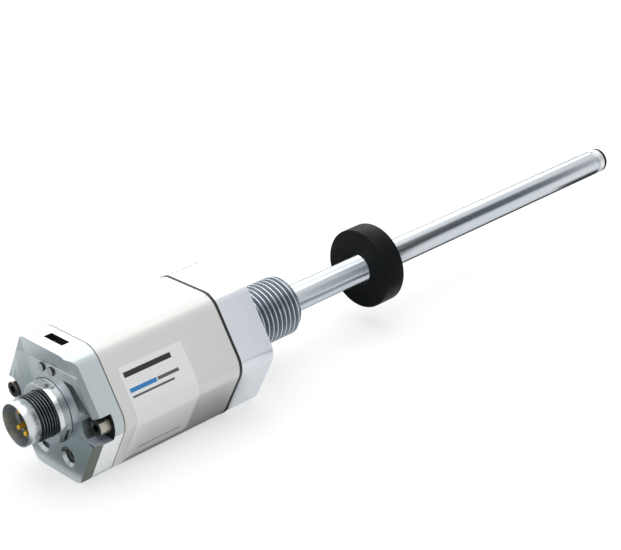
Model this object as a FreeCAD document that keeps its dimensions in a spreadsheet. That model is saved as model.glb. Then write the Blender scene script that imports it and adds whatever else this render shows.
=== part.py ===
import FreeCAD, Part
import math
import os
import Sketcher
from FreeCAD import Vector

# A magnetostrictive position sensor with a pressure rod.
# The axis is +X, from the housing to the rod's tip. x = 0 is the flange's stop face,
# where the mounting thread begins. +Z is up and the housing lies on a hexagon flat.

doc = FreeCAD.newDocument("position_sensor")

# Driving dimensions, in millimetres.
DIMENSIONS = {
    # housing stack, from the stop face back to the cap's front
    "bay_dia": 34.0,
    "bay_wall": 6.0,
    "corner_round": 8.0,
    "corner_stand": 2.3,
    "flange_len": 14.0,
    "flange_seal_len": 0.7,
    "sleeve_len": 47.6,
    "cap_seal_len": 0.4,
    "cap_len": 10.4,
    "spigot_len": 2.5,
    # mounting stud and rod
    "stud_dia": 22.0,
    "stud_len": 27.6,
    "stud_bevel": 1.2,
    "tube_dia": 10.0,
    "tube_wall": 1.6,
    "tube_seat": 8.0,
    "rod_len": 210.8,
    "plug_len": 5.6,
    "plug_neck_len": 1.3,
    "plug_neck_cut": 0.7,
    "plug_bevel": 0.5,
    "plug_spigot_len": 4.0,
    "rod_tap_dia": 3.3,
    "rod_tap_len": 6.0,
    # position magnet
    "ring_dia": 30.4,
    "ring_bore": 11.4,
    "ring_len": 9.0,
    "ring_bevel": 0.5,
    "ring_rest": 70.2,
    # tie screws
    "screw_land": 2.0,
    "screw_dia": 3.0,
    "screw_engage": 4.6,
    "screw_hole": 3.4,
    "screw_tap_len": 9.0,
    "head_dia": 5.5,
    "head_len": 3.0,
    "head_socket": 2.5,
    "head_socket_len": 1.5,
    "washer_dia": 6.0,
    "washer_len": 1.0,
    "notch_width": 9.4,
    "near_seat": 6.8,
    "far_seat": 3.7,
    # type label, a plain film round the right corner of the sleeve
    "label_gap": 4.3,
    "label_width": 25.5,
    "label_film": 0.12,
    "label_upper": 4.0,
    "label_lower": 8.0,
    # cap face
    "edge_bevel": 1.4,
    "edge_bevel_len": 2.8,
    "face_step": 0.9,
    "ramp_start": 16.0,
    "ramp_end": 9.0,
    "bar_rise": 2.0,
    "bar_left": 11.0,
    "bar_land": 0.4,
    "bar_depth": 1.5,
    "block_top": 5.0,
    "boss_dia": 31.6,
    "well_depth": 3.1,
    "well_top": 13.4,
    "well_shoulder": 13.5,
    "well_side": 5.9,
    "well_low": 3.0,
    "well_rim": 0.6,
    "nut_seat_depth": 1.8,
    "slot_len": 10.0,
    "slot_width": 3.2,
    "slot_back": 6.0,
    "slot_depth": 2.2,
    "cavity_land": 2.0,
    "cavity_depth": 4.0,
    "port_offset": 7.0,
    "port_inset": 8.6,
    "port_dia": 5.2,
    "port_mouth": 7.2,
    "port_depth": 5.0,
    "port_screw_drop": 2.0,
    "port_screw_len": 2.8,
    "port_socket": 3.0,
    "port_socket_len": 1.4,
    "window_offset": 2.6,
    "window_inset": 2.5,
    "window_dia": 3.0,
    "window_stand": 0.7,
    # connector
    "mouth_out": 13.0,
    "mouth_dia": 14.9,
    "mouth_bore": 14.2,
    "mouth_len": 4.8,
    "conn_dia": 16.0,
    "relief_len": 0.6,
    "relief_cut": 0.5,
    "conn_bore": 12.4,
    "conn_flange_dia": 21.0,
    "conn_flange_len": 1.6,
    "conn_tail_len": 2.0,
    "nut_dia": 21.4,
    "nut_len": 2.9,
    "nut_flat_cut": 0.8,
    "nut_flat_len": 1.8,
    "nut_bevel": 0.5,
    "seal_len": 0.9,
    "insert_drop": 7.5,
    "pin_dia": 1.8,
    "pin_drop": 2.0,
    "pin_circle": 7.6,
    # electronics
    "board_len": 1.6,
    "cap_board_gap": 3.2,
    "carrier_gap": 1.4,
    "carrier_disc": 3.0,
    "carrier_hole": 6.5,
    "rail_rise": 8.0,
    "pickup_len": 12.0,
    "pickup_width": 10.0,
    "coil_dia": 5.0,
    "coil_len": 5.0,
    # waveguide
    "guide_dia": 0.7,
    "guide_end": 24.0,
    "liner_dia": 2.6,
    "liner_bore": 1.2,
    "damper_len": 34.0,
    "return_dia": 0.8,
    "return_drop": 2.2,
    "clamp_len": 4.0,
    # fits and clearances
    "slip": 0.05,
    "gap": 0.3,
}

sheet = doc.addObject("Spreadsheet::Sheet", "Sizes")
for row, (name, number) in enumerate(DIMENSIONS.items(), start=1):
    sheet.set(f"A{row}", name)
    sheet.set(f"B{row}", str(number))
    sheet.setAlias(f"B{row}", name)
doc.recompute()


class Length:
    """A length in millimetres, with the sheet expression that gives it."""

    def __init__(self, value, text):
        self.value = float(value)
        self.text = text

    @staticmethod
    def of(item):
        return item if isinstance(item, Length) else Length(item, f"{item:g}")

    def __add__(self, other):
        other = Length.of(other)
        return Length(self.value + other.value, f"({self.text} + {other.text})")

    def __sub__(self, other):
        other = Length.of(other)
        return Length(self.value - other.value, f"({self.text} - {other.text})")

    def __mul__(self, number):
        return Length(self.value * number, f"({self.text} * {number:g})")

    def __truediv__(self, number):
        return Length(self.value / number, f"({self.text} / {number:g})")

    def __neg__(self):
        return Length(-self.value, f"(-{self.text})")


class Sizes:
    """Gives each cell of the sheet as a Length."""

    def __getattr__(self, alias):
        return Length(sheet.get(alias), f"Sizes.{alias}")


size = Sizes()
ZERO = Length(0, "0")

# The housing's section, worked out from the bay inside it.
hex_flat = size.bay_dia + size.bay_wall * 2
turned_dia = hex_flat + size.corner_stand * 2
screw_offset = size.bay_dia / 2 + size.screw_land + size.screw_hole / 2
window_rise = size.bay_dia / 2 - size.window_inset
bar_low = window_rise + size.bar_rise
cavity_dia = size.bay_dia - size.cavity_land * 2
port_drop = hex_flat / 2 - size.port_inset

# The hexagon's own numbers.
SIN_30 = math.sin(math.pi / 6)
COS_30 = math.cos(math.pi / 6)
TAN_30 = math.tan(math.pi / 6)
SIDE_FLAT_ANGLES = (60, 120, 240, 300)
# The pins stand on five of the six places of a circle, from the first one's angle on.
PIN_START = 75
PIN_ANGLE = 60
PIN_COUNT = 5
SPACER_COUNT = 3
NUT_FLAT_COUNT = 3
# Shares of the bay's width that the main board's parts take.
BOARD_WIDTH_SHARE = 0.7
BOARD_DROP_SHARE = 0.2
RAIL_SHARE = 0.06
# Two lengths within this distance of each other are taken as equal.
NEAR = 0.01

# Stations along the axis, worked out from the stack.
flange_back = -size.flange_len
sleeve_back = flange_back - size.flange_seal_len
sleeve_front = sleeve_back - size.sleeve_len
cap_back = sleeve_front - size.cap_seal_len
cap_front = cap_back - size.cap_len
level_face = cap_front + size.face_step
nut_seat = cap_front + size.nut_seat_depth
cavity_floor = cap_back - size.cavity_depth
mouth_face = cap_front - size.mouth_out
spigot_back = flange_back - size.spigot_len
tube_back = -size.tube_seat
tube_front = size.rod_len - size.plug_len
tube_bore = size.tube_dia - size.tube_wall * 2
board_front = cap_back + size.cap_board_gap
# Farther out than any corner of the housing, for cuts that run clear of it.
clear_of_corners = hex_flat * 0.7
screw_len = flange_back + size.screw_engage - cap_front - size.far_seat


def start_body(label, x=ZERO):
    """A body whose own origin lies on the axis at the station x."""
    body = doc.addObject("PartDesign::Body", "body_" + label)
    body.Label = label
    body.AllowCompound = True
    body.Placement.Base = Vector(x.value, 0, 0)
    body.setExpression("Placement.Base.x", x.text)
    return body


def sketch_on(body, role, offset=ZERO):
    """A sketch on one of the body's own origin planes, moved along its normal."""
    sketch = body.newObject("Sketcher::SketchObject", "sketch")
    plane = next(item for item in body.Origin.OriginFeatures if item.Role == role)
    sketch.AttachmentSupport = [(plane, "")]
    sketch.MapMode = "FlatFace"
    sketch.AttachmentOffset.Base = Vector(0, 0, offset.value)
    sketch.setExpression("AttachmentOffset.Base.z", offset.text)
    return sketch


def cross_section(body, x=ZERO):
    """A sketch across the axis: its first axis is Y and its second is Z."""
    return sketch_on(body, "YZ_Plane", x)


def add_dimension(sketch, constraint, length):
    index = sketch.addConstraint(constraint)
    sketch.setExpression(f"Constraints[{index}]", length.text)


def fix_point(sketch, geometry, end, first, second):
    """Holds a point of the sketch at its two distances from the sketch's origin."""
    for kind, axis, length in (("DistanceX", -2, first), ("DistanceY", -1, second)):
        length = Length.of(length)
        if length.value == 0:
            sketch.addConstraint(Sketcher.Constraint("PointOnObject", geometry, end, axis))
        elif length.value > 0:
            add_dimension(sketch, Sketcher.Constraint(kind, -1, 1, geometry, end, length.value), length)
        else:
            add_dimension(sketch, Sketcher.Constraint(kind, geometry, end, -1, 1, -length.value), -length)


def add_polygon(sketch, corners):
    corners = [(Length.of(a), Length.of(b)) for a, b in corners]
    places = [Vector(a.value, b.value, 0) for a, b in corners]
    count = len(places)
    first = sketch.GeometryCount
    for i in range(count):
        sketch.addGeometry(Part.LineSegment(places[i], places[(i + 1) % count]))
    for i, (a, b) in enumerate(corners):
        fix_point(sketch, first + i, 1, a, b)
        following = first + (i + 1) % count
        sketch.addConstraint(Sketcher.Constraint("Coincident", first + i, 2, following, 1))


def add_circle(sketch, diameter, y=ZERO, z=ZERO):
    radius = Length.of(diameter) / 2
    circle = sketch.addGeometry(Part.Circle(Vector(y.value, z.value, 0), Vector(0, 0, 1), radius.value))
    if y.value == 0 and z.value == 0:
        sketch.addConstraint(Sketcher.Constraint("Coincident", circle, 3, -1, 1))
    else:
        fix_point(sketch, circle, 3, y, z)
    add_dimension(sketch, Sketcher.Constraint("Radius", circle, radius.value), radius)


def add_hexagon(sketch, across_flats, y=ZERO):
    """A regular hexagon with flats at its top and bottom."""
    half = across_flats / 2
    centre = Vector(y.value, 0, 0)
    rim = half.value / COS_30
    turns = [Part.Circle(centre, Vector(0, 0, 1), rim).value(k * math.pi / 3) for k in range(6)]
    first = sketch.GeometryCount
    for k in range(6):
        sketch.addGeometry(Part.LineSegment(turns[k], turns[(k + 1) % 6]))
    ring = sketch.addGeometry(Part.Circle(centre, Vector(0, 0, 1), rim), True)
    if y.value == 0:
        sketch.addConstraint(Sketcher.Constraint("Coincident", ring, 3, -1, 1))
    else:
        fix_point(sketch, ring, 3, y, ZERO)
    for k in range(6):
        following = first + (k + 1) % 6
        sketch.addConstraint(Sketcher.Constraint("Coincident", first + k, 2, following, 1))
        sketch.addConstraint(Sketcher.Constraint("PointOnObject", first + k, 1, ring))
        if k:
            sketch.addConstraint(Sketcher.Constraint("Equal", first, first + k))
    sketch.addConstraint(Sketcher.Constraint("Horizontal", first + 1))
    add_dimension(sketch, Sketcher.Constraint("Distance", ring, 3, first + 1, half.value), half)


def pad(body, sketch, length):
    """Adds the sketch's area, towards +X for a cross section."""
    feature = body.newObject("PartDesign::Pad", "pad")
    feature.Profile = sketch
    feature.Length = length.value
    feature.setExpression("Length", length.text)
    return feature


def cut(body, sketch, length):
    """Removes the sketch's area, towards +X for a cross section."""
    feature = body.newObject("PartDesign::Pocket", "cut")
    feature.Profile = sketch
    feature.Reversed = True
    feature.Length = length.value
    feature.setExpression("Length", length.text)
    return feature


def turn(body, outline, kind="Revolution"):
    """Turns an outline of (x, radius) points about the axis, to add or to groove."""
    sketch = sketch_on(body, "XZ_Plane")
    add_polygon(sketch, outline)
    feature = body.newObject("PartDesign::" + kind, kind.lower())
    feature.Profile = sketch
    feature.ReferenceAxis = (sketch, ["H_Axis"])
    feature.Angle = 360
    return feature


def turned_piece(label, outline, x=ZERO):
    body = start_body(label, x)
    turn(body, outline)
    return body


def chamfer_edges(body, chosen, length):
    """Bevels the edges of the body's last feature that chosen() accepts."""
    doc.recompute()
    base = body.Tip
    names = [f"Edge{i}" for i, edge in enumerate(base.Shape.Edges, start=1) if chosen(edge)]
    feature = body.newObject("PartDesign::Chamfer", "bevel")
    feature.Base = (base, names)
    feature.Size = length.value
    feature.setExpression("Size", length.text)
    return feature


def at_station(edge, x):
    box = edge.BoundBox
    return abs(box.XMin - x.value) < NEAR and abs(box.XMax - x.value) < NEAR


def round_hexagon_corners(body, prism):
    """Rounds the prism's six long outer edges."""
    doc.recompute()
    names = []
    for i, edge in enumerate(prism.Shape.Edges, start=1):
        box = edge.BoundBox
        middle = box.Center
        lies_along = box.XLength > NEAR and box.YLength < NEAR and box.ZLength < NEAR
        if lies_along and Vector(0, middle.y, middle.z).Length > hex_flat.value / 2 + 1:
            names.append(f"Edge{i}")
    feature = body.newObject("PartDesign::Fillet", "corner_rounds")
    feature.Base = (prism, names)
    feature.Radius = size.corner_round.value
    feature.setExpression("Radius", size.corner_round.text)
    return feature


def hexagon_slice(label, back_to_front, length, bore=None):
    """A slice of the housing's section, with its bore and the two tie screw holes."""
    body = start_body(label, back_to_front)
    sketch = cross_section(body)
    add_hexagon(sketch, hex_flat)
    if bore:
        add_circle(sketch, bore)
        for side in (screw_offset, -screw_offset):
            add_circle(sketch, size.screw_hole, side)
    round_hexagon_corners(body, pad(body, sketch, length))
    return body


# The type label lies on the sleeve's upper right flat, round its right corner and on
# the flat below, as one strip of film.
def make_type_label():
    body = start_body("type_label", sleeve_front + size.label_gap)
    sketch = cross_section(body)
    inner = hex_flat / 2
    outer = inner + size.label_film
    corner = size.corner_round
    # how far along each flat, from its middle, the corner's round begins
    straight = inner * TAN_30 - corner * TAN_30
    around = [
        on_side_flat(inner, size.label_upper, 1), on_side_flat(inner, -straight, 1),
        on_side_flat(inner, -straight, -1), on_side_flat(inner, size.label_lower, -1),
        on_side_flat(outer, size.label_lower, -1), on_side_flat(outer, -straight, -1),
        on_side_flat(outer, -straight, 1), on_side_flat(outer, size.label_upper, 1),
    ]
    round_about = (corner - inner) / COS_30
    bends = {1: corner, 5: corner + size.label_film}
    places = [Vector(a.value, b.value, 0) for a, b in around]
    for i, place in enumerate(places):
        following = places[(i + 1) % len(places)]
        if i in bends:
            middle = Vector(round_about.value - bends[i].value, 0, 0)
            upper, lower = sorted((place, following), key=lambda point: -point.y)
            sketch.addGeometry(Part.Arc(upper, middle, lower))
        else:
            sketch.addGeometry(Part.LineSegment(place, following))
    for i, (a, b) in enumerate(around):
        following = (i + 1) % len(around)
        if i in bends:
            add_dimension(sketch, Sketcher.Constraint("Radius", i, bends[i].value), bends[i])
        else:
            fix_point(sketch, i, 1, a, b)
            if following in bends:
                fix_point(sketch, i, 2, *around[following])
        join_ends(sketch, i, following, places[following])
    pad(body, sketch, size.label_width)
    return body


def on_side_flat(distance, along, side):
    """A point on the right-hand flat above (1) or below (-1), from the flat's middle outwards."""
    along = Length.of(along)
    return along * SIN_30 - distance * COS_30, (distance * SIN_30 + along * COS_30) * side


def join_ends(sketch, one, other, place):
    """Joins whichever ends of two curves meet at this place."""
    ends = []
    for curve in (one, other):
        start = sketch.Geometry[curve].StartPoint
        ends.append(1 if (start - place).Length < NEAR else 2)
    sketch.addConstraint(Sketcher.Constraint("Coincident", one, ends[0], other, ends[1]))


def group(label, members):
    """Like pieces that share one node."""
    together = doc.addObject("Part::Compound", "group_" + label)
    together.Links = members
    together.Label = label
    return together


# The flange block and its threaded stud are turned from one hexagon bar.
def make_mounting_flange():
    body = start_body("mounting_flange")
    block = cross_section(body, flange_back)
    add_hexagon(block, hex_flat)
    pad(body, block, size.flange_len)
    corner = turned_dia / 2
    beyond = clear_of_corners
    turn(body, [(flange_back, corner), (ZERO, corner), (ZERO, beyond), (flange_back, beyond)], "Groove")
    stud = cross_section(body)
    add_circle(stud, size.stud_dia)
    pad(body, stud, size.stud_len)
    chamfer_edges(body, lambda edge: at_station(edge, size.stud_len), size.stud_bevel)
    spigot = cross_section(body, spigot_back)
    add_circle(spigot, size.bay_dia - size.gap * 2)
    pad(body, spigot, size.spigot_len)
    seat = size.tube_dia / 2 + size.slip
    inner = tube_bore / 2
    turn(body, [(spigot_back, ZERO), (spigot_back, inner), (tube_back, inner), (tube_back, seat),
                (size.stud_len, seat), (size.stud_len, ZERO)], "Groove")
    taps = cross_section(body, flange_back)
    for side in (screw_offset, -screw_offset):
        add_circle(taps, size.screw_dia + size.slip * 2, side)
    cut(body, taps, size.screw_tap_len)
    return body


def make_pressure_tube():
    inner = tube_bore / 2
    outer = size.tube_dia / 2
    length = tube_front - tube_back
    return turned_piece("pressure_tube", [(ZERO, inner), (ZERO, outer), (length, outer), (length, inner)],
                        tube_back)


# The end plug has a spigot in the tube, a neck, a collar and a tapped hole in its face.
def make_rod_end_plug():
    outer = size.tube_dia / 2
    neck = outer - size.plug_neck_cut
    spigot = tube_bore / 2 - size.slip
    start = size.plug_spigot_len
    end = start + size.plug_len
    tap = size.rod_tap_dia / 2
    return turned_piece("rod_end_plug", [
        (ZERO, ZERO), (ZERO, spigot), (start, spigot), (start, neck),
        (start + size.plug_neck_len, neck), (start + size.plug_neck_len, outer),
        (end - size.plug_bevel, outer), (end, outer - size.plug_bevel),
        (end, tap), (end - size.rod_tap_len, tap), (end - size.rod_tap_len, ZERO),
    ], tube_front - size.plug_spigot_len)


def make_position_magnet():
    inner = size.ring_bore / 2
    outer = size.ring_dia / 2
    edge = size.ring_bevel
    length = size.ring_len
    return turned_piece("position_magnet", [
        (ZERO, inner), (ZERO, outer - edge), (edge, outer), (length - edge, outer),
        (length, outer - edge), (length, inner),
    ], size.ring_rest - size.ring_len / 2)


# The front cap: a hexagon plate with a stepped face, two screw notches and its ports.
def make_front_cap():
    body = hexagon_slice("front_cap", cap_front, size.cap_len)
    wide = clear_of_corners

    # the face between the top bar and the lower block is set back; a ramp at its left
    # leads out to the cap's front
    step = sketch_on(body, "XY_Plane", -size.block_top)
    add_polygon(step, [(ZERO, size.ramp_start), (size.face_step, size.ramp_end),
                       (size.face_step, -wide), (ZERO, -wide)])
    cut(body, step, size.block_top + bar_low)

    # the top bar slopes back from the top edge and ends in a ledge
    bar = sketch_on(body, "XZ_Plane", -size.bar_left)
    add_polygon(bar, [(ZERO, hex_flat / 2 - size.bar_land), (size.bar_depth, bar_low), (ZERO, bar_low)])
    cut(body, bar, wide + size.bar_left)

    # each side flat is bevelled at the front; the top and bottom flats are not
    for angle in SIDE_FLAT_ANGLES:
        bevel_flat(body, angle)

    # a deeper well to the right of the connector's round boss
    rim_far = hex_flat / 2 / COS_30
    well = cross_section(body)
    low = rim_far - size.well_low * TAN_30 - size.edge_bevel - size.well_rim
    side = rim_far - size.well_side * TAN_30 - size.edge_bevel - size.well_rim
    add_polygon(well, [(-low, size.well_low), (ZERO, size.well_low), (ZERO, size.well_top),
                       (-size.well_shoulder, size.well_top), (-side, size.well_side)])
    cut(body, well, size.well_depth)
    boss = cross_section(body, size.face_step)
    add_circle(boss, size.boss_dia)
    pad(body, boss, size.well_depth - size.face_step)

    # a seat for the ring nut and the hole for the connector's shell
    seat = cross_section(body)
    add_circle(seat, size.nut_dia + size.gap * 2)
    cut(body, seat, size.nut_seat_depth)
    hole = cross_section(body)
    add_circle(hole, size.conn_dia + size.slip * 2)
    cut(body, hole, size.cap_len)

    # notches in the two side corners, with a seat for each tie screw's head
    for side, depth in ((-1, size.near_seat), (1, size.far_seat)):
        notch = cross_section(body)
        half = size.notch_width / 2
        centre = screw_offset * side
        mouth = wide * side
        add_slot_mouth(notch, centre, mouth, half, side)
        cut(body, notch, depth)
    shanks = cross_section(body)
    for side in (screw_offset, -screw_offset):
        add_circle(shanks, size.screw_hole, side)
    cut(body, shanks, size.cap_len)

    # windows, ports, the top slot and the cavity behind
    windows = cross_section(body)
    for side in (size.window_offset, -size.window_offset):
        add_circle(windows, size.window_dia + size.slip * 2, side, window_rise)
    cut(body, windows, size.cap_len)
    ports = cross_section(body)
    for side in (size.port_offset, -size.port_offset):
        add_circle(ports, size.port_dia, side, -port_drop)
    cut(body, ports, size.port_depth)
    doc.recompute()
    mouths = (size.port_mouth - size.port_dia) / 2
    chamfer_edges(body, lambda edge: at_station(edge, ZERO) and is_circle(edge, size.port_dia), mouths)
    slot = sketch_on(body, "XY_Plane", hex_flat / 2 - size.slot_depth)
    back = size.slot_back + size.slot_width / 2
    front = size.slot_back - size.slot_width / 2
    half = size.slot_len / 2
    add_polygon(slot, [(front, -half), (back, -half), (back, half), (front, half)])
    cut(body, slot, size.slot_depth)
    cavity = cross_section(body, size.cap_len - size.cavity_depth)
    add_circle(cavity, cavity_dia)
    cut(body, cavity, size.cavity_depth)
    return body


def bevel_flat(body, angle):
    """Cuts a straight bevel along the front edge of the flat at this angle from the top."""
    wedge = sketch_on(body, "XZ_Plane")
    wedge.AttachmentOffset.Rotation = FreeCAD.Rotation(Vector(1, 0, 0), angle)
    flat = hex_flat / 2
    beyond = flat + size.corner_round
    slope_end = size.edge_bevel_len
    add_polygon(wedge, [(ZERO, flat - size.edge_bevel), (slope_end, flat),
                        (slope_end, beyond), (ZERO, beyond)])
    feature = body.newObject("PartDesign::Pocket", "edge_bevel")
    feature.Profile = wedge
    feature.SideType = "Symmetric"
    feature.Length = hex_flat.value
    feature.setExpression("Length", hex_flat.text)


def is_circle(edge, diameter):
    curve = edge.Curve
    return isinstance(curve, Part.Circle) and abs(curve.Radius - diameter.value / 2) < NEAR


def add_slot_mouth(sketch, centre, mouth, half, side):
    """A U-shaped slot: a half circle about the screw, open towards the corner."""
    middle = Vector(centre.value, 0, 0)
    top = Vector(centre.value, half.value, 0)
    bottom = Vector(centre.value, -half.value, 0)
    inner = Vector(centre.value - side * half.value, 0, 0)
    arc = sketch.addGeometry(Part.Arc(top, inner, bottom))
    corners = [top, Vector(mouth.value, half.value, 0), Vector(mouth.value, -half.value, 0), bottom]
    lines = [sketch.addGeometry(Part.LineSegment(corners[i], corners[i + 1])) for i in range(3)]
    fix_point(sketch, arc, 3, centre, ZERO)
    add_dimension(sketch, Sketcher.Constraint("Radius", arc, half.value), half)
    top_end = 1 if sketch.Geometry[arc].StartPoint.y > 0 else 2
    sketch.addConstraint(Sketcher.Constraint("Coincident", arc, top_end, lines[0], 1))
    sketch.addConstraint(Sketcher.Constraint("Coincident", lines[0], 2, lines[1], 1))
    sketch.addConstraint(Sketcher.Constraint("Coincident", lines[1], 2, lines[2], 1))
    sketch.addConstraint(Sketcher.Constraint("Coincident", lines[2], 2, arc, 3 - top_end))
    sketch.addConstraint(Sketcher.Constraint("Horizontal", lines[0]))
    sketch.addConstraint(Sketcher.Constraint("Vertical", lines[1]))
    sketch.addConstraint(Sketcher.Constraint("Horizontal", lines[2]))
    for end in (1, 2):
        sketch.addConstraint(Sketcher.Constraint("Vertical", arc, 3, arc, end))
    if side > 0:
        add_dimension(sketch, Sketcher.Constraint("DistanceX", -1, 1, lines[1], 1, mouth.value), mouth)
    else:
        add_dimension(sketch, Sketcher.Constraint("DistanceX", lines[1], 1, -1, 1, -mouth.value), -mouth)


# A socket head cap screw with its lock washer, seated in one of the cap's notches.
def make_tie_screw(label, seat_depth, side):
    stack = size.head_len + size.washer_len
    body = start_body(label, cap_front + seat_depth - stack)
    body.Placement.Base.y = side.value
    body.setExpression("Placement.Base.y", side.text)
    shank = size.screw_dia / 2
    head = size.head_dia / 2
    washer = size.washer_dia / 2
    turn(body, [(ZERO, ZERO), (ZERO, head), (size.head_len, head), (size.head_len, washer),
                (stack, washer), (stack, shank), (stack + screw_len, shank), (stack + screw_len, ZERO)])
    socket = cross_section(body)
    add_hexagon(socket, size.head_socket)
    cut(body, socket, size.head_socket_len)
    return body


# A headless screw that closes one of the cap's two ports.
def make_port_screw(label, side):
    body = start_body(label, cap_front + size.port_screw_drop)
    body.Placement.Base.y = side.value
    body.setExpression("Placement.Base.y", side.text)
    body.Placement.Base.z = -port_drop.value
    body.setExpression("Placement.Base.z", (-port_drop).text)
    outline = cross_section(body)
    add_circle(outline, size.port_dia - size.slip * 2)
    pad(body, outline, size.port_screw_len)
    socket = cross_section(body)
    add_hexagon(socket, size.port_socket)
    cut(body, socket, size.port_socket_len)
    return body


def make_light_pipe(label, side):
    pipe_front = level_face - size.window_stand
    body = start_body(label, pipe_front)
    outline = cross_section(body)
    add_circle(outline, size.window_dia, side, window_rise)
    pad(body, outline, board_front - pipe_front)
    return body


# The connector's shell: a plain mouth, a fine thread that ends in a relief groove at
# the nut, and a flange inside the cap.
def make_connector_shell():
    mouth = size.mouth_dia / 2
    bore = size.mouth_bore / 2
    inner = size.conn_bore / 2
    thread = size.conn_dia / 2
    flange = size.conn_flange_dia / 2
    bore_end = size.mouth_len
    relief = thread - size.relief_cut
    relief_end = nut_seat - size.nut_len - mouth_face
    relief_start = relief_end - size.relief_len
    flange_front = cavity_floor + size.seal_len - mouth_face
    flange_end = flange_front + size.conn_flange_len
    tail = flange_end + size.conn_tail_len
    return turned_piece("connector_shell", [
        (ZERO, bore), (ZERO, mouth), (size.mouth_len, mouth), (size.mouth_len, thread),
        (relief_start, thread), (relief_start, relief), (relief_end, relief), (relief_end, thread),
        (flange_front, thread), (flange_front, flange), (flange_end, flange), (flange_end, thread),
        (tail, thread), (tail, inner), (bore_end, inner), (bore_end, bore),
    ], mouth_face)


# The ring nut that clamps the shell to the cap, with three wrench flats.
def make_connector_nut():
    outer = size.nut_dia / 2
    inner = size.conn_dia / 2 + size.slip
    edge = size.nut_bevel
    length = size.nut_len
    body = turned_piece("connector_nut", [
        (ZERO, inner), (ZERO, outer - edge), (edge, outer), (length, outer), (length, inner),
    ], nut_seat - size.nut_len)
    flats = cross_section(body)
    low = outer - size.nut_flat_cut
    high = outer + size.nut_flat_cut
    add_polygon(flats, [(-outer, low), (outer, low), (outer, high), (-outer, high)])
    flat = cut(body, flats, size.nut_flat_len)
    ring = body.newObject("PartDesign::PolarPattern", "three_flats")
    ring.Originals = [flat]
    ring.Axis = (next(item for item in body.Origin.OriginFeatures if item.Role == "X_Axis"), [""])
    ring.Angle = 360
    ring.Occurrences = NUT_FLAT_COUNT
    body.Tip = ring
    return body


def make_connector_seal():
    inner = size.conn_dia / 2 + size.slip
    outer = size.conn_flange_dia / 2
    return turned_piece("connector_seal", [(ZERO, inner), (ZERO, outer), (size.seal_len, outer),
                                           (size.seal_len, inner)], cavity_floor)


# The moulded insert carries the five pins.
def make_connector_insert():
    body = start_body("connector_insert", mouth_face + size.insert_drop)
    shell_end = cavity_floor + size.seal_len + size.conn_flange_len + size.conn_tail_len
    length = shell_end - mouth_face - size.insert_drop
    outline = cross_section(body)
    add_circle(outline, size.conn_bore - size.slip * 2)
    pad(body, outline, length)
    hole = cross_section(body)
    add_first_pin(hole, size.pin_dia + size.slip * 2)
    ring_of_pins(body, cut(body, hole, length))
    return body


def add_first_pin(sketch, diameter):
    angle = math.radians(PIN_START)
    across = size.pin_circle / 2 * math.cos(angle)
    up = size.pin_circle / 2 * math.sin(angle)
    add_circle(sketch, diameter, across, up)


def ring_of_pins(body, feature):
    """Repeats the first pin or hole at the other places of the pin circle."""
    ring = body.newObject("PartDesign::PolarPattern", "pin_places")
    ring.Originals = [feature]
    ring.Axis = (next(item for item in body.Origin.OriginFeatures if item.Role == "X_Axis"), [""])
    ring.Mode = "Spacing"
    ring.Offset = PIN_ANGLE
    ring.Occurrences = PIN_COUNT
    body.Tip = ring
    return ring


def make_connector_pins():
    body = start_body("connector_pins", mouth_face + size.pin_drop)
    length = board_front + size.board_len - mouth_face - size.pin_drop
    outline = cross_section(body)
    add_first_pin(outline, size.pin_dia)
    ring_of_pins(body, pad(body, outline, length))
    return body


# The round board behind the cap takes the pins' ends and the two indicator lamps.
def make_connector_board():
    body = start_body("connector_board", board_front)
    outline = cross_section(body)
    add_circle(outline, size.bay_dia - size.gap * 2)
    pad(body, outline, size.board_len)
    hole = cross_section(body)
    add_first_pin(hole, size.pin_dia + size.slip * 2)
    ring_of_pins(body, cut(body, hole, size.board_len))
    return body


carrier_front = board_front + size.board_len + size.carrier_gap
carrier_len = spigot_back - carrier_front
carrier_radius = size.bay_dia / 2 - size.gap
rail_width = size.bay_dia * RAIL_SHARE
board_width = size.bay_dia * BOARD_WIDTH_SHARE
board_top = size.bay_dia * -BOARD_DROP_SHARE
board_bottom = board_top - size.board_len
board_start = carrier_front + size.carrier_disc
board_run = carrier_len - size.carrier_disc * 2
rail_inner = board_width / 2


# The moulded carrier: a disc against the flange's spigot, two rails and a front ring.
def make_board_carrier():
    body = start_body("board_carrier", carrier_front)
    disc = cross_section(body, carrier_len - size.carrier_disc)
    add_circle(disc, carrier_radius * 2)
    add_circle(disc, size.carrier_hole)
    pad(body, disc, size.carrier_disc)
    front = cross_section(body)
    add_circle(front, carrier_radius * 2)
    add_circle(front, (carrier_radius - rail_width) * 2)
    pad(body, front, size.carrier_disc)
    rails = cross_section(body)
    outer = rail_inner + rail_width
    top = board_top + size.rail_rise
    bottom = board_bottom
    for side in (1, -1):
        add_polygon(rails, [(rail_inner * side, bottom), (outer * side, bottom),
                            (outer * side, top), (rail_inner * side, top)])
    pad(body, rails, carrier_len)
    return body


def box(label, corner, lengths):
    """A rectangular piece, its lowest corner and lengths bound to the sheet."""
    block = doc.addObject("Part::Box", "box_" + label)
    block.Label = label
    for axis, place in zip("xyz", corner):
        block.setExpression("Placement.Base." + axis, Length.of(place).text)
    for name, length in zip(("Length", "Width", "Height"), lengths):
        block.setExpression(name, Length.of(length).text)
    return block


def make_main_board():
    return box("main_board", (board_start, -rail_inner, board_bottom),
               (board_run, board_width, size.board_len))


# Each part on the main board: its place and size along the board's free run and across
# its width, as shares of them, and its height.
BOARD_PARTS = {
    "processor": (0.42, -0.17, 0.36, 0.33, 1.2),
    "converter": (0.14, 0.17, 0.22, 0.25, 2.4),
    "driver": (0.14, -0.42, 0.22, 0.21, 1.6),
    "filter_block": (0.72, 0.24, 0.22, 0.17, 1.4),
}


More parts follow.
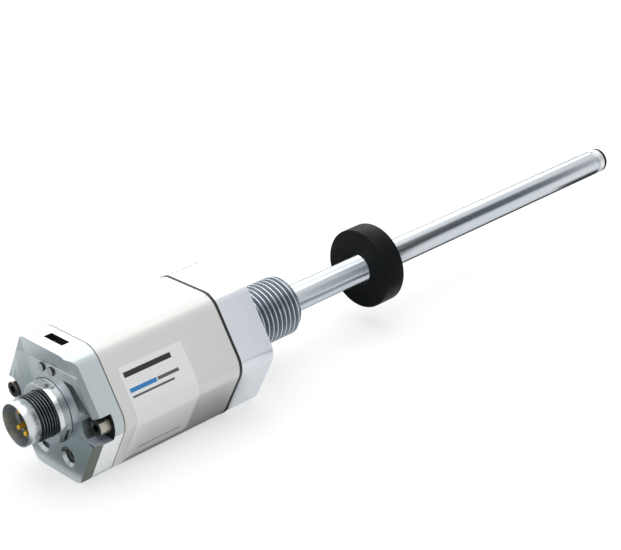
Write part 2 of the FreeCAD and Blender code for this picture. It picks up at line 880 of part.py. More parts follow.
def make_board_parts():
    members = []
    free_run = pickup_front - board_start
    for name, (along, across, long_share, wide_share, height) in BOARD_PARTS.items():
        corner = (board_start + free_run * along, board_width * across, board_top)
        members.append(box(name, corner, (free_run * long_share, board_width * wide_share, height)))
    return group("board_parts", members)


guide_front = size.rod_len - size.guide_end
damper_back = guide_front - size.clamp_len - size.damper_len
pickup_back = spigot_back - size.carrier_disc
pickup_front = pickup_back - size.pickup_len


# The pickup head stands on the carrier's disc and holds the waveguide's near end.
def make_pickup_head():
    body = start_body("pickup_head", pickup_front)
    half = size.pickup_width / 2
    outline = cross_section(body)
    add_polygon(outline, [(-half, board_top), (half, board_top), (half, half), (-half, half)])
    add_circle(outline, size.coil_dia + size.slip * 2)
    pad(body, outline, size.pickup_len)
    return body


def make_pickup_coil():
    outer = size.coil_dia / 2
    inner = size.guide_dia / 2 + size.slip
    return turned_piece("pickup_coil", [(ZERO, inner), (ZERO, outer), (size.coil_len, outer),
                                        (size.coil_len, inner)], pickup_front + size.gap)


def make_waveguide():
    radius = size.guide_dia / 2
    length = guide_front - pickup_front
    return turned_piece("waveguide", [(ZERO, ZERO), (ZERO, radius), (length, radius), (length, ZERO)],
                        pickup_front)


def make_waveguide_liner():
    inner = size.liner_bore / 2
    outer = size.liner_dia / 2
    start = pickup_front + size.coil_len + size.gap * 2
    length = damper_back - start
    return turned_piece("waveguide_liner", [(ZERO, inner), (ZERO, outer), (length, outer), (length, inner)],
                        start)


# Soft rings keep the liner in the middle of the tube.
def make_liner_spacers():
    members = []
    first = size.stud_len
    spacing = (damper_back - first) / SPACER_COUNT
    for i in range(SPACER_COUNT):
        body = start_body(f"spacer_{i + 1}", first + spacing * (i + 0.5))
        outline = cross_section(body)
        add_circle(outline, tube_bore - size.slip * 2)
        add_circle(outline, size.liner_dia + size.slip * 2)
        add_circle(outline, size.return_dia + size.slip * 2, ZERO, -size.return_drop)
        pad(body, outline, size.clamp_len)
        members.append(body)
    return group("liner_spacers", members)


def make_damping_plug():
    body = start_body("damping_plug", damper_back)
    outline = cross_section(body)
    add_circle(outline, tube_bore - size.slip * 2)
    add_circle(outline, size.guide_dia + size.slip * 2)
    add_circle(outline, size.return_dia + size.slip * 2, ZERO, -size.return_drop)
    pad(body, outline, size.damper_len)
    return body


# A brass clamp joins the waveguide's far end to the return wire.
def make_end_clamp():
    body = start_body("end_clamp", guide_front - size.clamp_len)
    outline = cross_section(body)
    add_circle(outline, tube_bore - size.slip * 2)
    add_circle(outline, size.guide_dia + size.slip * 2)
    add_circle(outline, size.return_dia + size.slip * 2, ZERO, -size.return_drop)
    pad(body, outline, size.clamp_len)
    return body


def make_return_wire():
    body = start_body("return_wire", pickup_back)
    outline = cross_section(body)
    add_circle(outline, size.return_dia, ZERO, -size.return_drop)
    pad(body, outline, guide_front - pickup_back)
    return body


def make_pieces():
    near = -screw_offset
    far = screw_offset
    port = size.port_offset
    window = size.window_offset
    bay = size.bay_dia
    return [
        make_front_cap(),
        group("cap_screws", [make_tie_screw("near_screw", size.near_seat, near),
                             make_tie_screw("far_screw", size.far_seat, far)]),
        group("port_screws", [make_port_screw("left_port_screw", port),
                              make_port_screw("right_port_screw", -port)]),
        group("light_pipes", [make_light_pipe("left_pipe", window),
                              make_light_pipe("right_pipe", -window)]),
        hexagon_slice("cap_gasket", sleeve_front - size.cap_seal_len, size.cap_seal_len, bay),
        hexagon_slice("housing_sleeve", sleeve_front, size.sleeve_len, bay),
        hexagon_slice("flange_gasket", sleeve_back, size.flange_seal_len, bay),
        make_type_label(),
        make_mounting_flange(),
        make_pressure_tube(),
        make_rod_end_plug(),
        make_connector_shell(),
        make_connector_nut(),
        make_connector_seal(),
        make_connector_insert(),
        make_connector_pins(),
        make_connector_board(),
        make_board_carrier(),
        make_main_board(),
        make_board_parts(),
        make_pickup_head(),
        make_pickup_coil(),
        make_waveguide(),
        make_waveguide_liner(),
        make_liner_spacers(),
        make_damping_plug(),
        make_end_clamp(),
        make_return_wire(),
        make_position_magnet(),
    ]


def check_document(pieces):
    """Stops if anything failed, or if a cut removed nothing."""
    for item in doc.Objects:
        state = " ".join(item.State)
        if "Invalid" in state or "Error" in state:
            raise RuntimeError(f"{item.Name} failed: {item.getStatusString()}")
        if item.TypeId in ("PartDesign::Pocket", "PartDesign::Groove"):
            before = item.BaseFeature.Shape.Volume
            if item.Shape.Volume > before - 0.01:
                raise RuntimeError(f"{item.Label} cuts nothing")
    for piece in pieces:
        if piece.Shape.isNull() or not piece.Shape.isValid():
            raise RuntimeError(f"{piece.Label} has no valid shape")


pieces = make_pieces()
doc.recompute()
check_document(pieces)
os.makedirs("parts", exist_ok=True)
for piece in pieces:
    piece.Shape.exportStep(f"parts/{piece.Label}.step")
    box_of = piece.Shape.BoundBox
    print(f"{piece.Label}: {len(piece.Shape.Solids)} solids, {piece.Shape.Volume:.1f} mm3, "
          f"x {box_of.XMin:.2f} to {box_of.XMax:.2f}")
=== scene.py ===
# %% [markdown]
# # A magnetostrictive position sensor
#
# This lesson dresses a finished CAD model in Blender. The object measures how far a
# ring magnet has moved along a steel rod. It has a six-sided aluminium housing with a
# round plug connector in front, a stainless flange with a threaded stud behind, a long
# pressure rod, and a black magnet ring that slides on it.
#
# The CAD model is the frame: every piece made here lies exactly where the CAD says,
# so the model keeps its real size. We load it first and note its box.

# %% Load the frame
import math

import bmesh
import bpy
from mathutils import Matrix, Vector


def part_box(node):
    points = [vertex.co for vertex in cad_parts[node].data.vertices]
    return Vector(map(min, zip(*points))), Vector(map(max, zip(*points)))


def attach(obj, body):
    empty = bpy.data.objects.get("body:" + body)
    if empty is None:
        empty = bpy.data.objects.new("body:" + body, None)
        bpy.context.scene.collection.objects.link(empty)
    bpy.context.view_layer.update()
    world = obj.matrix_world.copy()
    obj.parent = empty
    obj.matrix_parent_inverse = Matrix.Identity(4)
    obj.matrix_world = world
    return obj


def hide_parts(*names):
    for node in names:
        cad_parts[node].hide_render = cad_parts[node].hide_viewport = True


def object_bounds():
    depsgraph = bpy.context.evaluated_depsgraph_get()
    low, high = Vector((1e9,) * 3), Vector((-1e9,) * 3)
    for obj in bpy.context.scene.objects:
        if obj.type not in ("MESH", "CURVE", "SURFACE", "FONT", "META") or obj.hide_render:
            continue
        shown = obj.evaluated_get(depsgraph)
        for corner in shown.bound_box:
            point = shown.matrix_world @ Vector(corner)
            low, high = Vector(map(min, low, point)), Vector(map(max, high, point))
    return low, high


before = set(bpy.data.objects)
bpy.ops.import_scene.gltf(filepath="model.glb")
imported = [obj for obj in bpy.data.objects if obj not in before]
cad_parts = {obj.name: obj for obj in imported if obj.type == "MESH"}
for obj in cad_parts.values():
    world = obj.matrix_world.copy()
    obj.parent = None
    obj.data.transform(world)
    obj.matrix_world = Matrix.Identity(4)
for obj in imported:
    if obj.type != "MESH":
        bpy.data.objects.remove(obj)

MM = 0.001
scene = bpy.context.scene
cad_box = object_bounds()
print("CAD box in mm:", [[round(v / MM, 2) for v in corner] for corner in cad_box])

# %% [markdown]
# ## The camera
#
# The photograph looks down on the connector end, from the left, with a long lens. The
# camera's place was found by fitting a pinhole camera to edges whose size is known, and
# the focal length here is that fit's, for a 36 mm wide sensor. The camera rolls by three
# degrees, as the photograph does. Nothing is shifted.

# %% The camera
CAMERA_PLACE = Vector((-303.765, -383.439, 244.543)) * MM
CAMERA_TURN = (65.177, 3.142, -43.478)
SENSOR_WIDTH = 36
LENS = 91.344

lens = bpy.data.cameras.new("photo_camera")
lens.sensor_width = SENSOR_WIDTH
lens.lens = LENS
lens.clip_start = 0.01
lens.clip_end = 30
camera = bpy.data.objects.new("photo_camera", lens)
camera.location = CAMERA_PLACE
camera.rotation_euler = [math.radians(angle) for angle in CAMERA_TURN]
scene.collection.objects.link(camera)
scene.camera = camera
scene.view_settings.view_transform = "Standard"
print("camera is", round(camera.location.length, 3), "m from the flange")

# %% [markdown]
# ## Colours and nodes
#
# Finishes are written as sRGB hex values, the way a paint chart gives them. Blender
# works in linear light, so one function turns a value into linear numbers. A second
# small function adds a node to a material's tree, sets it and links it, which keeps
# each material short enough to read at a glance.

# %% Two small helpers
def linear(hex_colour):
    """The linear RGBA of an sRGB colour such as C9CDCE."""
    parts = [int(hex_colour[i:i + 2], 16) / 255 for i in (0, 2, 4)]
    low = 0.04045
    return [p / 12.92 if p <= low else ((p + 0.055) / 1.055) ** 2.4 for p in parts] + [1.0]


def add(tree, kind, sockets=None, **settings):
    """Adds a node. Each socket takes a plain value, or another node's output."""
    node = tree.nodes.new(kind)
    for name, value in settings.items():
        setattr(node, name, value)
    for socket, value in (sockets or {}).items():
        if isinstance(value, bpy.types.NodeSocket):
            tree.links.new(value, node.inputs[socket])
        else:
            node.inputs[socket].default_value = value
    return node


# %% [markdown]
# ## One recipe for machined and moulded finishes
#
# Whatever made a surface leaves a fine grain: blasting leaves pits that are as long as
# they are wide, a lathe leaves rings round the axis, and drawing or brushing leaves
# long lines. All of them are one noise pattern, squeezed or stretched by three lengths
# in millimetres, along X, Y and Z. The grain moves the roughness and the relief
# together, because a scratch is both rougher and lower than the metal beside it. A
# second, wide noise lets the colour drift a little, as anodising, plating and
# moulding all do.

# %% The recipe
def finish(name, colour, drift, roughness, spread=0.05, metallic=0.0, cloud=14.0,
           grain=(0.4, 0.4, 0.4), relief=0.003, **shader):
    """A material with drifting colour, and with grain in its gloss and relief.

    The colour drifts between two hex values over cloud mm. The roughness goes up and
    down by spread, and the relief is that deep, in mm, with the grain's three lengths.
    """
    material = bpy.data.materials.new(name)
    material.use_nodes = True
    tree = material.node_tree
    tree.nodes.clear()
    where = add(tree, "ShaderNodeTexCoord").outputs["Object"]
    clouds = add(tree, "ShaderNodeTexNoise",
                 {"Vector": where, "Scale": 1 / (cloud * MM), "Detail": 3.0})
    # a Mix node's colours share one name, so they go by number: 6 and 7
    tone = add(tree, "ShaderNodeMix",
               {0: clouds.outputs["Fac"], 6: linear(colour), 7: linear(drift)}, data_type="RGBA")
    stretched = add(tree, "ShaderNodeMapping",
                    {"Vector": where, "Scale": [1 / (length * MM) for length in grain]})
    marks = add(tree, "ShaderNodeTexNoise",
                {"Vector": stretched.outputs[0], "Scale": 1.0, "Detail": 2.0})
    gloss = add(tree, "ShaderNodeMapRange",
                {"Value": marks.outputs["Fac"], "From Min": 0.3, "From Max": 0.7,
                 "To Min": max(roughness - spread, 0.02), "To Max": roughness + spread})
    bump = add(tree, "ShaderNodeBump",
               {"Strength": 1.0, "Distance": relief * MM, "Height": marks.outputs["Fac"]})
    surface = add(tree, "ShaderNodeBsdfPrincipled",
                  {"Base Color": tone.outputs[2], "Roughness": gloss.outputs[0],
                   "Metallic": metallic, "Normal": bump.outputs[0], **shader})
    add(tree, "ShaderNodeOutputMaterial", {"Surface": surface.outputs[0]})
    return material


# %% [markdown]
# ## The metals
#
# A long grain length is written as a large number: lathe rings are fine along X and
# endless round it, and brush lines are endless along X. The real grains are about
# 0.05 mm, too fine for a picture this wide, so they are drawn several times coarser.

# %% The metals
ENDLESS = 400.0
# Die-cast aluminium, glass-bead blasted and clear anodised: soft, slightly green grey.
blasted_aluminium = finish("blasted_anodised_aluminium", "C1C9CB", "B1BABC", 0.34, 0.05, 1.0,
                           cloud=18, grain=(0.45, 0.45, 0.45), relief=0.006)
# Painted highlight: a near-white metal that draws the bright line on each of the casting's
# rounded edges and along its ledge, and brightens its lower right flats.
highlight_edge = finish("painted_highlight_aluminium", "F6F8F8", "ECF0EF", 0.30, 0.04, 0.35,
                   cloud=6, grain=(0.3, 0.3, 0.3), relief=0.001)
# The casting's recesses: dull, and painted darker as shade. The notches are black at the
# back, painted shadow where no light comes, and pale on their floors, painted light.
shaded_recess = finish("painted_shade_recess", "7E898B", "6C7678", 0.46, 0.06, 1.0,
                     cloud=5, grain=(0.5, 0.5, 0.5), relief=0.008)
black_shade = finish("painted_shadow_aluminium", "2A2E30", "1E2224", 0.50, 0.06, 0.9,
                     cloud=4, grain=(0.5, 0.5, 0.5), relief=0.008)
notch_painted_light = finish("painted_light_aluminium_notch", "B9C1CC", "A6AFBA", 0.42, 0.06, 0.3,
                     cloud=4, grain=(0.5, 0.5, 0.5), relief=0.006)
# The chamfer under the cap, painted a dark olive as shade.
shaded_chamfer = finish("painted_shade_chamfer", "6E746D", "60665F", 0.36, 0.05, 0.9,
                       cloud=8, grain=(0.45, 0.45, 0.45), relief=0.005)
# Extruded aluminium, finely blasted and anodised to a pale satin: smooth, slightly warm.
champagne_aluminium = finish("satin_champagne_anodised_aluminium", "DADAD8", "D3D4D1", 0.36, 0.03,
                             0.45, cloud=30, grain=(0.3, 0.3, 0.3), relief=0.0008)
# Stainless bar, milled flats with turned corners: bright, cool, faint tool lines.
milled_stainless = finish("milled_stainless_steel", "D6DADF", "D0D5DB", 0.28, 0.01, 1.0,
                          cloud=30, grain=(4.0, 0.8, 0.8), relief=0.0)
# Stainless thread, rolled: burnished on its crests, dull in its grooves and painted darker
# there as shade.
thread_crest = finish("rolled_thread_crest", "E0E4E8", "D0D5DA", 0.20, 0.05, 1.0,
                      cloud=3, grain=(0.5, 0.6, 0.6), relief=0.001)
shaded_steel_groove = finish("painted_shade_steel_groove", "848D94", "6E777E", 0.30, 0.06, 1.0,
                       cloud=3, grain=(0.5, 0.6, 0.6), relief=0.002)
# Stainless tube, centreless ground and polished: a soft mirror with fine rings.
polished_stainless = finish("polished_stainless_tube", "CBD1D6", "C1C8CE", 0.25, 0.03, 1.0,
                            cloud=40, grain=(0.3, ENDLESS, ENDLESS), relief=0.0002)
# Bright nickel plating on turned brass: a soft mirror, a little warmer than the steel.
bright_nickel = finish("bright_nickel_plate", "D6D9DB", "CED2D5", 0.24, 0.01, 1.0,
                       cloud=12, grain=(0.35, ENDLESS, ENDLESS), relief=0.0001)
# The same plating inside the mouth, where it is satin.
satin_nickel = finish("satin_nickel_bore", "C4CED5", "8C98A0", 0.27, 0.04, 0.6,
                      cloud=2, grain=(6.0, 2.5, 2.5), relief=0.0)
# The connector's fine thread: black nickel, darker in the grooves, lighter on the crests.
black_nickel = finish("black_nickel_thread", "34393C", "202426", 0.30, 0.05, 1.0,
                      cloud=2, grain=(0.4, 0.5, 0.5), relief=0.001)
nickel_ridge = finish("nickel_ridge_plate", "9AA1A4", "82898C", 0.24, 0.05, 1.0,
                       cloud=1.5, grain=(0.4, 0.5, 0.5), relief=0.001)
# Plain screw steel, oiled: satin, a little warm, and darker on the front faces.
oiled_steel = finish("oiled_screw_steel", "BDB7AC", "A39E94", 0.36, 0.06, 1.0,
                     cloud=4, grain=(0.3, 0.8, 0.8), relief=0.003)
darker_face_steel = finish("darker_screw_face", "575552", "454340", 0.42, 0.06, 0.9,
                       cloud=2, grain=(0.5, 0.5, 0.5), relief=0.004)
# A nearly black rim at the rod's closed end, without shine.
dark_rim_finish = finish("nearly_black_rim", "0C0C0D", "141315", 0.55, 0.08,
                   cloud=1.5, grain=(0.4, 0.6, 0.6), relief=0.004, **{"Specular IOR Level": 0.1})
# The plug's collar, ground to a bright satin.
ground_collar = finish("ground_steel_collar", "F4F6F7", "ECEFF1", 0.34, 0.04, 0.35,
                       cloud=5, grain=(0.3, ENDLESS, ENDLESS), relief=0.0005)
# Hard gold over nickel on the contact pins: bright and deep yellow.
hard_gold = finish("hard_gold_plate", "F8C843", "E6AE2E", 0.22, 0.04, 0.6,
                   cloud=2, grain=(0.3, 0.3, 0.3), relief=0.0008)
# Enamelled copper wire on the pickup coil: copper under a clear brown coat.
enamelled_copper = finish("enamelled_copper", "B0653A", "8E4A27", 0.30, 0.05, 0.9,
                          cloud=2, grain=(0.25, 2.0, 2.0), relief=0.004)
print(len(bpy.data.materials), "materials so far")

# %% [markdown]
# ## Rubber, plastic and film
#
# Moulded plastic takes its grain from the mould. The ring magnet is nylon filled with
# ferrite powder: nearly black, dull, with a fine sandy skin that catches a little
# light along its edges. The type label is a bare polyester film. It carries plain
# bars where a label has its lines, and no words or signs.

# %% The other finishes
# Ferrite-filled nylon, moulded: nearly black, hardly any shine.
ferrite_nylon = finish("ferrite_filled_nylon", "0A0D0F", "101416", 0.50, 0.08,
                       cloud=6, grain=(0.4, 0.4, 0.4), relief=0.012,
                       **{"Specular IOR Level": 0.1})
# Glass-filled nylon, moulded: black with a soft sheen.
moulded_black = finish("glass_filled_nylon_black", "1B1C1E", "232426", 0.48, 0.08,
                       cloud=5, grain=(0.3, 0.3, 0.3), relief=0.01)
# Nitrile and silicone rubber, moulded: dull.
black_rubber = finish("nitrile_rubber_black", "101112", "18191A", 0.55, 0.06,
                      cloud=6, grain=(0.5, 0.5, 0.5), relief=0.008)
grey_rubber = finish("silicone_seam_grey", "6E7172", "5E6163", 0.55, 0.05,
                     cloud=6, grain=(0.5, 0.5, 0.5), relief=0.006)
red_silicone = finish("silicone_damper_red", "8E3A2A", "7A2F22", 0.5, 0.05,
                      cloud=5, grain=(0.4, 0.4, 0.4), relief=0.006)
# Unfilled nylon, moulded, and PTFE tube, extruded: dark grey and milky white.
carrier_nylon = finish("moulded_carrier_nylon", "3A3C3F", "323437", 0.5, 0.06,
                       cloud=8, grain=(0.4, 0.4, 0.4), relief=0.008)
liner_ptfe = finish("extruded_ptfe_liner", "E4E3DE", "D8D7D1", 0.35, 0.04,
                    cloud=10, grain=(ENDLESS, 0.3, 0.3), relief=0.002)
# Glass-epoxy board under green solder mask: glossy, with the weave just showing.
solder_mask = finish("glass_epoxy_green_mask", "1F6B3F", "185A34", 0.32, 0.05,
                     cloud=3, grain=(0.6, 0.6, 0.6), relief=0.004)
# Polyester film, satin, and the inks printed on it.
polyester_film = finish("satin_polyester_film", "ECEDED", "E6E7E7", 0.34, 0.03, 0.15,
                        cloud=25, grain=(0.6, 0.6, 0.6), relief=0.001)
black_ink = finish("label_ink_black", "161617", "1E1E20", 0.45, 0.04,
                   cloud=3, grain=(0.3, 0.3, 0.3), relief=0.001)
blue_ink = finish("label_ink_blue", "2A86C8", "2478B8", 0.42, 0.04,
                  cloud=3, grain=(0.3, 0.3, 0.3), relief=0.001)
grey_ink = finish("label_ink_grey", "5A5D61", "505357", 0.42, 0.04,
                  cloud=3, grain=(0.3, 0.3, 0.3), relief=0.001)
# Polycarbonate light pipe, moulded: clear, but grey because the housing is dark inside.
clear_window = finish("clear_polycarbonate_window", "C3CAC9", "B6BEBD", 0.22, 0.03,
                      cloud=2, grain=(0.5, 0.5, 0.5), relief=0.001,
                      **{"Transmission Weight": 0.25, "IOR": 1.58})
print(len(bpy.data.materials), "materials")

# %% [markdown]
# ## Three ways to make a piece
#
# Most of this object is turned on a lathe, so the first helper spins an outline round
# the axis. The corners of the outline are rounded before it is spun, which is how a
# real edge catches light. The second helper takes a copy of a CAD node for the milled
# pieces. CAD triangles come loose, so they are joined and the flat faces made whole
# again. Two small ones measure where a node ends and how far a point lies from the
# axis. The last helper puts a mesh in the scene, lets it ride on its body and hides the
# CAD node that it stands for.

# %% Turned pieces
AXIS = (1, 0, 0)
FULL_TURN = 2 * math.pi
TURN_STEPS = 96
ROUND_STEPS = 4
# Points closer than this are one point.
JOIN = 0.0002 * MM


def turned(outline, rounds=None, closed=True):
    """A turned piece from an outline of (x, radius) in mm.

    rounds says which corners of the outline are rounded, counted from 0, and how
    far, in mm. An outline that starts and ends on the axis isn't closed.
    """
    bm = bmesh.new()
    corners = [bm.verts.new((x * MM, 0, radius * MM)) for x, radius in outline]
    following = corners[1:] + (corners[:1] if closed else [])
    for one, other in zip(corners, following):
        bm.edges.new((one, other))
    for corner, radius in (rounds or {}).items():
        bmesh.ops.bevel(bm, geom=[corners[corner]], offset=radius * MM, offset_type="OFFSET",
                        segments=ROUND_STEPS, profile=0.5, affect="VERTICES", material=-1)
    bmesh.ops.spin(bm, geom=bm.verts[:] + bm.edges[:], cent=(0, 0, 0), axis=AXIS,
                   dvec=(0, 0, 0), angle=FULL_TURN, steps=TURN_STEPS, use_merge=True)
    bmesh.ops.remove_doubles(bm, verts=bm.verts, dist=JOIN)
    bmesh.ops.dissolve_degenerate(bm, edges=bm.edges, dist=JOIN)
    bmesh.ops.recalc_face_normals(bm, faces=bm.faces)
    return bm


# %% Copies and measures
# Faces of a copy that lean less than this against each other are one flat face.
FLAT_ENOUGH = math.radians(0.5)


def copied(node):
    """A bmesh of a CAD node, joined up and with its flat faces whole."""
    bm = bmesh.new()
    bm.from_mesh(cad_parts[node].data)
    bmesh.ops.remove_doubles(bm, verts=bm.verts, dist=JOIN)
    bmesh.ops.dissolve_limit(bm, angle_limit=FLAT_ENOUGH, verts=bm.verts, edges=bm.edges)
    return bm


def ends(node):
    """Where a CAD node starts and ends along the axis, in mm."""
    return [corner[0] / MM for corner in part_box(node)]


def off_axis(point):
    """How far a point lies from the axis."""
    return math.hypot(point.y, point.z)


# %% A piece in the scene
def place(name, bm, materials, node, body="sensor", sharp=32, soften=0.0,
          segments=2, edge=-1):
    """Puts bm in the scene in place of a CAD node.

    Edges that turn by more than sharp degrees stay crisp. soften rounds them, in mm,
    and edge is the material number they take, where -1 leaves them as they are.
    """
    mesh = bpy.data.meshes.new(name)
    bm.to_mesh(mesh)
    bm.free()
    for material in materials:
        mesh.materials.append(material)
    mesh.shade_smooth()
    mesh.set_sharp_from_angle(angle=math.radians(sharp))
    piece = bpy.data.objects.new(name, mesh)
    scene.collection.objects.link(piece)
    if soften:
        rounding = piece.modifiers.new("rounding", "BEVEL")
        rounding.width = soften * MM
        rounding.segments = segments
        rounding.limit_method = "ANGLE"
        rounding.angle_limit = math.radians(sharp)
        rounding.harden_normals = True
        rounding.use_clamp_overlap = True
        rounding.material = edge
    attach(piece, body)
    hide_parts(node)
    print(f"{name}: {len(mesh.polygons)} faces in place of {node}")
    return piece


# %% [markdown]
# ## A screw thread
#
# A thread is one tooth, swept round the axis while it moves along it by one pitch a
# turn. Blender's spin does that when it is given a small step along the axis as well.
# The tooth is swept past both ends and then cut off square, and the last turns are
# turned down to a cone, as on a real stud. A bore closes the piece from inside.

# %% One tooth, swept
THREAD_STEPS = 64
# As shares of the pitch: how deep a thread is cut, its outline along the axis, with 0
# for the groove's floor and 1 for the crest, and the rounding of the outline's corners.
TOOTH_DEPTH = 0.6134
TOOTH = ((0.0, 0), (0.12, 0), (0.44, 1), (0.56, 1), (0.88, 0), (1.0, 0))
TOOTH_ROUND = 0.05
# One turn of the sweep meets the next within this distance.
SEAM = 0.001 * MM


def swept_tooth(start, end, crest, pitch):
    """One tooth of a thread, swept along a helix to past both ends."""
    root = crest - TOOTH_DEPTH * pitch
    bm = bmesh.new()
    points = []
    for share, is_crest in TOOTH:
        radius = crest if is_crest else root
        points.append(bm.verts.new(((start + (share - 1) * pitch) * MM, 0, radius * MM)))
    for one, other in zip(points, points[1:]):
        bm.edges.new((one, other))
    bmesh.ops.bevel(bm, geom=points[1:-1], offset=TOOTH_ROUND * pitch * MM, offset_type="OFFSET",
                    segments=2, profile=0.5, affect="VERTICES", material=-1)
    turns = math.ceil((end - start) / pitch) + 2
    bmesh.ops.spin(bm, geom=bm.verts[:] + bm.edges[:], cent=(0, 0, 0), axis=AXIS,
                   dvec=(pitch * MM / THREAD_STEPS, 0, 0), angle=FULL_TURN * turns,
                   steps=THREAD_STEPS * turns)
    bmesh.ops.remove_doubles(bm, verts=bm.verts, dist=SEAM)
    return bm


# %% The bore
# In mm: points this close to a plane or a line lie on it.
NEAR = 0.01


def close_with_bore(bm, start, end, bore):
    """Closes a thread that is cut off square at both ends, with a bore through it."""
    holes = []
    for x in (start, end):
        rim = [edge for edge in bm.edges if edge.is_boundary
               and all(abs(vert.co.x - x * MM) < NEAR * MM for vert in edge.verts)]
        across = Matrix.Translation((x * MM, 0, 0)) @ Matrix.Rotation(math.pi / 2, 4, "Y")
        ring = bmesh.ops.create_circle(bm, segments=THREAD_STEPS, radius=bore * MM, matrix=across)
        hole = list({edge for vert in ring["verts"] for edge in vert.link_edges})
        bmesh.ops.bridge_loops(bm, edges=rim + hole)
        holes += hole
    bmesh.ops.bridge_loops(bm, edges=holes)
    bmesh.ops.recalc_face_normals(bm, faces=bm.faces)


# %% The whole thread
# The share of a ridge's height, from the top, that shows the crest's finish.
CREST_SHARE = 0.22


def threaded(start, end, crest, pitch, bore, lead_out=0.0, lead_in=0.0):
    """A threaded sleeve along the axis from start to end, all in mm.

    Over lead_out at the start and lead_in at the end the ridges fall away to a cone.
    Material 0 is the crest's and 1 is the groove's.
    """
    bm = swept_tooth(start, end, crest, pitch)
    for x, outward in ((start, -1), (end, 1)):
        bmesh.ops.bisect_plane(bm, geom=bm.verts[:] + bm.edges[:] + bm.faces[:], dist=JOIN,
                               plane_co=(x * MM, 0, 0), plane_no=(outward, 0, 0),
                               clear_outer=True)
    # the cones: nothing stands farther out than they allow
    for vert in bm.verts:
        along = vert.co.x / MM
        allowed = crest - max(0.0, along - (end - lead_in), start + lead_out - along)
        radius = off_axis(vert.co) / MM
        if radius > allowed:
            vert.co.y *= allowed / radius
            vert.co.z *= allowed / radius
    close_with_bore(bm, start, end, bore)
    groove = crest - CREST_SHARE * TOOTH_DEPTH * pitch
    for face in bm.faces:
        if off_axis(face.calc_center_median() / MM) < groove:
            face.material_index = 1
    return bm


# %% [markdown]
# ## The pressure rod and its tip
#
# The rod is a polished stainless tube, 10 mm across, closed by a turned plug that is
# welded in. In the photograph the plug shows a narrow neck, a bright collar and a thin
# dark rim, which takes a nearly black finish here.

# %% The rod
ROD = 5.0
ROD_BORE = 3.4
tube_start, tube_end = ends("pressure_tube")
tube = turned([(tube_start, ROD_BORE), (tube_start, ROD), (tube_end, ROD), (tube_end, ROD_BORE)],
              {1: 0.2, 2: 0.25})
place("rod_tube", tube, [polished_stainless], "pressure_tube")

# %% The rod's tip
plug_start, plug_end = ends("rod_end_plug")
PLUG = ROD_BORE - 0.05
NECK = 4.3
neck_end = tube_end + 1.3
rim_start = plug_end - 1.7
RIM_WIDTH = 0.6
TAP = 1.65
tap_floor = plug_end - 6.0
tip = turned([
    (plug_start, 0.0), (plug_start, PLUG), (tube_end, PLUG), (tube_end, NECK),
    (neck_end, NECK), (neck_end, ROD), (rim_start, ROD), (plug_end, ROD),
    (plug_end, TAP), (tap_floor, TAP), (tap_floor, 0.0),
], {3: 0.1, 4: 0.3, 5: 0.25, 7: 0.5, 8: 0.2}, closed=False)
# material 1 is the dark rim's and 2 is the neck's
for face in tip.faces:
    middle = face.calc_center_median() / MM
    if middle.x > rim_start and off_axis(middle) > ROD - RIM_WIDTH:
        face.material_index = 1
    elif middle.x < neck_end - 0.05:
        face.material_index = 2
place("rod_tip", tip, [ground_collar, dark_rim_finish, bright_nickel], "rod_end_plug")

# %% [markdown]
# ## The ring magnet
#
# The magnet is the only part that moves. It is a plain moulded ring with small round
# edges, so a rounded outline, spun, is all it needs. It rides on its own body. In the
# photograph the rod only darkens softly in front of it, with no clear image of it, so
# the ring is left out of reflections.

# %% The ring magnet
RING = 15.2
RING_BORE = 5.7
OUTER_EDGE = 0.55
INNER_EDGE = 0.4
ring_start, ring_end = ends("position_magnet")
ring = turned(
    [(ring_start, RING_BORE), (ring_start, RING), (ring_end, RING), (ring_end, RING_BORE)],
    {0: INNER_EDGE, 1: OUTER_EDGE, 2: OUTER_EDGE, 3: INNER_EDGE})
magnet_ring = place("magnet_ring", ring, [ferrite_nylon], "position_magnet",
                    body="magnet")
magnet_ring.visible_glossy = False

# %% [markdown]
# ## The flange and its stud
#
# The flange block is milled from bar, and its long edges are rounded. Its CAD copy is
# cut off where the stud begins, and the cut is closed, because the stud gets a piece of
# its own with a real thread: 22 mm across with 2 mm between turns, which is how far
# apart the ridges stand in the photograph.

# %% The flange block
# The cut lies just past the face that the stud stands on.
CUT_PAST = 0.02
# A long edge runs along the axis and farther from it than 22 mm, and turns by at least
# 15 degrees.
ALONG_AXIS = 0.99
LONG_EDGES_FROM = 22
LEAST_TURN = math.radians(15)
LONG_EDGE_ROUND = 1.2
block = copied("mounting_flange")
bmesh.ops.bisect_plane(block, geom=block.verts[:] + block.edges[:] + block.faces[:], dist=JOIN,
                       plane_co=(CUT_PAST * MM, 0, 0), plane_no=AXIS, clear_outer=True)
bmesh.ops.bridge_loops(block, edges=[edge for edge in block.edges if edge.is_boundary])
long_edges = [edge for edge in block.edges
              if abs((edge.verts[0].co - edge.verts[1].co).normalized().x) > ALONG_AXIS
              and off_axis(edge.verts[0].co) > LONG_EDGES_FROM * MM
              and edge.calc_face_angle(0) > LEAST_TURN]
bmesh.ops.bevel(block, geom=long_edges, offset=LONG_EDGE_ROUND * MM, offset_type="OFFSET",
                segments=5, profile=0.5, affect="EDGES", material=-1)
print(len(long_edges), "long edges rounded on the flange block")
place("flange_block", block, [milled_stainless], "mounting_flange", soften=0.25)

# %% The stud
STUD = 11.0
STUD_PITCH = 2.0
STUD_BORE = 5.05
stud_end = round(ends("mounting_flange")[1], 2)
stud = threaded(0.0, stud_end, STUD, STUD_PITCH, STUD_BORE, lead_in=1.3)
place("mounting_stud", stud, [thread_crest, shaded_steel_groove], "mounting_flange",
      sharp=60)

# %% [markdown]
# ## The housing
#
# An extruded sleeve, a milled casting in front of it and a flat seal at each of its ends
# make the housing. They have the CAD's own shapes, so they are copies of its nodes, and
# the metal ones get softened edges. The flange's seal is squeezed, so it bulges out of
# its seam by a little.

